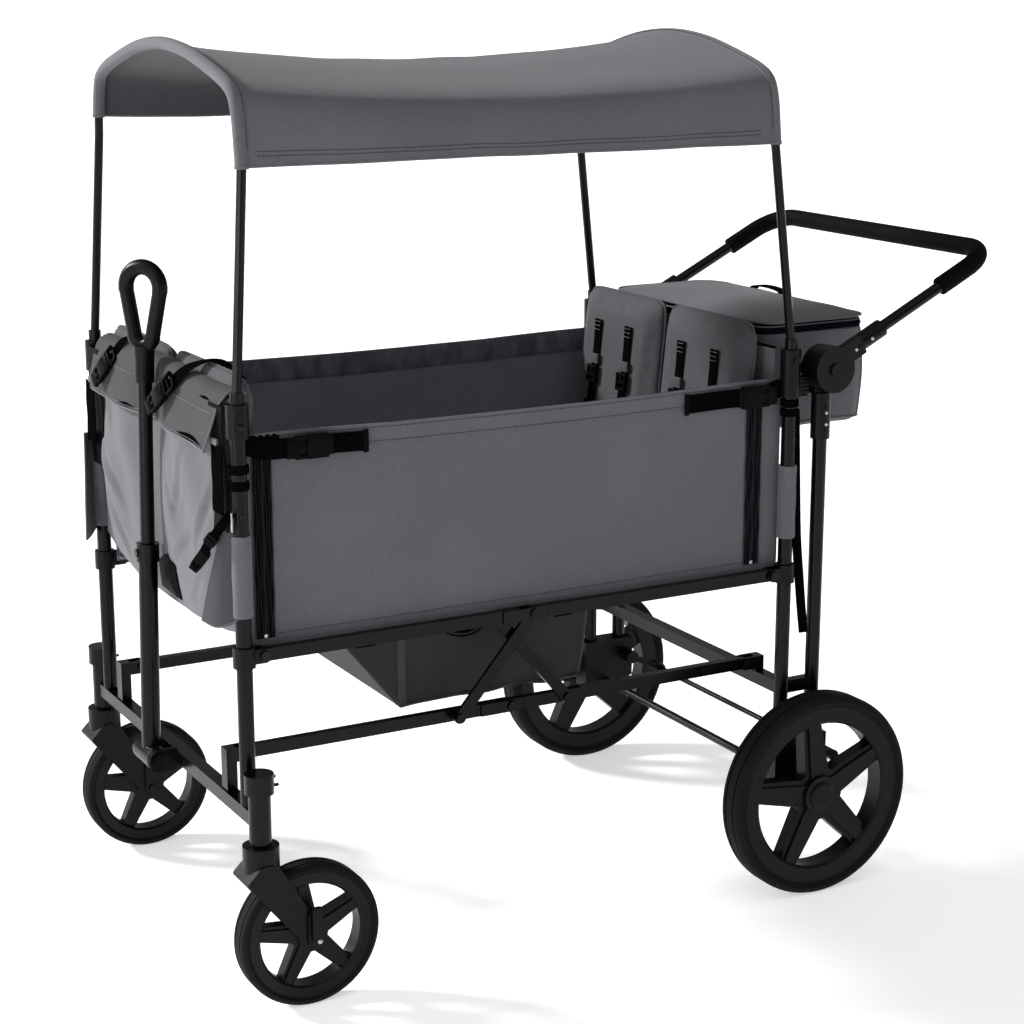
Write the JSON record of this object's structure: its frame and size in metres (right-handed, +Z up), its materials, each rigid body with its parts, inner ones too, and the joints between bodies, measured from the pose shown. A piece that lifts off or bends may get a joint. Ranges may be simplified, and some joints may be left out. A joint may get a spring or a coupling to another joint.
{
  "type": "stroller wagon",
  "caption": "Folding stroller wagon: fabric box on a tube frame, swivelling front casters, large rear wheels, telescopic pull handle, tilting push bar and lift-off canopy.",
  "frame": {"origin": "under the middle of the overall box, on the ground", "axes": "X from the front to the rear, Y from the left to the right, Z up"},
  "size_m": [1.2104, 0.68, 1.1889],
  "materials": {
    "frame_steel": "black powder coat, satin",
    "bolt_steel": "blackened bolts and rods",
    "black_plastic": "fine moulded grain",
    "tyre_foam": "solid foamed tread, matt",
    "grip_foam": "soft foam, matt",
    "gray_fabric": "coated oxford weave",
    "black_fabric": "woven webbing and lining"
  },
  "bodies": {
    "front_frame": {"front_posts": "frame_steel", "front_cross_bar": "frame_steel", "front_rail_brackets": "frame_steel", "front_post_collars": "black_plastic", "front_top_collars": "black_plastic", "caster_stems": "frame_steel", "pull_handle_bracket": "frame_steel", "front_hinge_pins": "bolt_steel", "front_panel": "gray_fabric", "front_seat_back": "gray_fabric", "side_wall_left": "gray_fabric", "side_wall_right": "gray_fabric", "corner_straps": "black_fabric", "under_basket": "gray_fabric"},
    "upper_front_rails": {"upper_front_rails": "frame_steel", "floor_front": "black_fabric"},
    "upper_rear_rails": {"upper_rear_rails": "frame_steel", "floor_rear": "black_fabric"},
    "lower_front_rails": {"lower_front_rails": "frame_steel"},
    "lower_rear_rails": {"lower_rear_rails": "frame_steel"},
    "scissor_a": {"scissor_bars_a": "frame_steel"},
    "scissor_b": {"scissor_bars_b": "frame_steel"},
    "rear_frame": {"rear_posts": "frame_steel", "push_posts": "frame_steel", "rear_cross_bar": "frame_steel", "rear_rail_brackets": "frame_steel", "rear_post_collars": "black_plastic", "rear_top_collars": "black_plastic", "wheel_brackets": "black_plastic", "rear_axle": "bolt_steel", "push_hinge_bases": "black_plastic", "rear_hinge_pins": "bolt_steel", "rear_panel": "gray_fabric", "rear_seat_back": "gray_fabric", "rear_seat_harness": "black_fabric", "rear_bag": "gray_fabric"},
    "bag_lid": {"bag_lid": "gray_fabric"},
    "push_handle": {"push_handle_hubs": "black_plastic", "push_bar": "frame_steel", "push_grip": "grip_foam"},
    "push_button_left": {"push_button_left": "black_plastic"},
    "push_button_right": {"push_button_right": "black_plastic"},
    "rear_wheel_left": {"rear_tyre_left": "tyre_foam", "rear_rim_left": "black_plastic"},
    "rear_wheel_right": {"rear_tyre_right": "tyre_foam", "rear_rim_right": "black_plastic"},
    "caster_left": {"caster_fork_left": "black_plastic"},
    "caster_right": {"caster_fork_right": "black_plastic"},
    "front_wheel_left": {"front_tyre_left": "tyre_foam", "front_rim_left": "black_plastic"},
    "front_wheel_right": {"front_tyre_right": "tyre_foam", "front_rim_right": "black_plastic"},
    "pull_handle": {"pull_tube": "frame_steel"},
    "pull_slide": {"pull_slide_tube": "frame_steel", "pull_grip": "black_plastic"},
    "brake": {"brake_pedals": "black_plastic"},
    "front_bow": {"front_bow": "frame_steel", "canopy_cover": "gray_fabric"},
    "rear_bow": {"rear_bow": "frame_steel"}
  },
  "joints": [
    {"name": "frame_fold", "type": "hinge", "parent": "front_frame", "child": "upper_front_rails", "pos_m": [-0.53219, 0, 0.454], "axis": [0, -1, 0], "range_deg": [0, 61], "deforming": ["side_wall_left", "side_wall_right", "canopy_cover", "under_basket", "front_seat_back", "rear_seat_back", "corner_straps", "rear_seat_harness"]},
    {"name": "upper_mid_hinge", "type": "hinge", "parent": "upper_front_rails", "child": "upper_rear_rails", "pos_m": [-0.15419, 0, 0.454], "axis": [0, -1, 0], "range_deg": [-128.5, 0.5]},
    {"name": "rear_fold", "type": "hinge", "parent": "upper_rear_rails", "child": "rear_frame", "pos_m": [0.22381, 0, 0.454], "axis": [0, -1, 0], "range_deg": [-0.5, 64.5]},
    {"name": "lower_front_fold", "type": "hinge", "parent": "front_frame", "child": "lower_front_rails", "pos_m": [-0.53219, 0, 0.309], "axis": [0, -1, 0], "range_deg": [-0.5, 64.5]},
    {"name": "lower_rear_fold", "type": "hinge", "parent": "rear_frame", "child": "lower_rear_rails", "pos_m": [0.22381, 0, 0.309], "axis": [0, -1, 0], "range_deg": [-64.5, 0.5]},
    {"name": "scissor_a", "type": "hinge", "parent": "lower_rear_rails", "child": "scissor_a", "pos_m": [-0.07019, 0, 0.309], "axis": [0, -1, 0], "range_deg": [-0.5, 40.35]},
    {"name": "scissor_b", "type": "hinge", "parent": "lower_front_rails", "child": "scissor_b", "pos_m": [-0.23819, 0, 0.309], "axis": [0, -1, 0], "range_deg": [-40.35, 0.5]},
    {"name": "push_tilt", "type": "hinge", "parent": "rear_frame", "child": "push_handle", "pos_m": [0.30581, 0, 0.738], "axis": [0, 1, 0], "range_deg": [-50, 60]},
    {"name": "push_button_left", "type": "slide", "parent": "push_handle", "child": "push_button_left", "axis": [0, 1, 0], "range_m": [0, 0.003], "stiffness_N_per_m": 600},
    {"name": "rear_wheel_spin_left", "type": "hinge", "parent": "rear_frame", "child": "rear_wheel_left", "pos_m": [0.27081, -0.318, 0.145], "axis": [0, 1, 0], "continuous": true},
    {"name": "caster_swivel_left", "type": "hinge", "parent": "front_frame", "child": "caster_left", "pos_m": [-0.55619, -0.298, 0.2], "axis": [0, 0, 1], "continuous": true},
    {"name": "front_wheel_spin_left", "type": "hinge", "parent": "caster_left", "child": "front_wheel_left", "pos_m": [-0.49719, -0.298, 0.094], "axis": [0, 1, 0], "continuous": true},
    {"name": "push_button_right", "type": "slide", "parent": "push_handle", "child": "push_button_right", "axis": [0, -1, 0], "range_m": [0, 0.003], "stiffness_N_per_m": 600},
    {"name": "rear_wheel_spin_right", "type": "hinge", "parent": "rear_frame", "child": "rear_wheel_right", "pos_m": [0.27081, 0.318, 0.145], "axis": [0, 1, 0], "continuous": true},
    {"name": "caster_swivel_right", "type": "hinge", "parent": "front_frame", "child": "caster_right", "pos_m": [-0.55619, 0.298, 0.2], "axis": [0, 0, 1], "continuous": true},
    {"name": "front_wheel_spin_right", "type": "hinge", "parent": "caster_right", "child": "front_wheel_right", "pos_m": [-0.49719, 0.298, 0.094], "axis": [0, 1, 0], "continuous": true},
    {"name": "pull_swing", "type": "hinge", "parent": "front_frame", "child": "pull_handle", "pos_m": [-0.58919, 0, 0.251], "axis": [0, -1, 0], "range_deg": [0, 95]},
    {"name": "pull_extend", "type": "slide", "parent": "pull_handle", "child": "pull_slide", "axis": [0.0227, 0, 0.9997], "range_m": [-0.205, 0], "deforming": ["front_panel"]},
    {"name": "brake_tilt", "type": "hinge", "parent": "rear_frame", "child": "brake", "pos_m": [0.30381, 0, 0.187], "axis": [0, 1, 0], "range_deg": [0, 20]},
    {"name": "canopy_lift", "type": "slide", "parent": "front_frame", "child": "front_bow", "axis": [0, 0, 1], "range_m": [0, 0.055]},
    {"name": "rear_bow_lift", "type": "slide", "parent": "rear_frame", "child": "rear_bow", "axis": [0, 0, 1], "range_m": [0, 0.055]},
    {"name": "bag_lid_hinge", "type": "hinge", "parent": "rear_frame", "child": "bag_lid", "pos_m": [0.24781, 0, 0.7989], "axis": [0, -1, 0], "range_deg": [0, 85]}
  ],
  "couplings": [
    {"joint": "upper_mid_hinge", "follows": "frame_fold", "ratio": -2},
    {"joint": "rear_fold", "follows": "frame_fold", "ratio": 1},
    {"joint": "lower_front_fold", "follows": "frame_fold", "ratio": 1},
    {"joint": "lower_rear_fold", "follows": "frame_fold", "ratio": -1},
    {"joint": "scissor_a", "follows": "frame_fold", "ratio": 0.6226},
    {"joint": "scissor_b", "follows": "frame_fold", "ratio": -0.6226},
    {"joint": "rear_bow_lift", "follows": "canopy_lift", "ratio": 1}
  ]
}
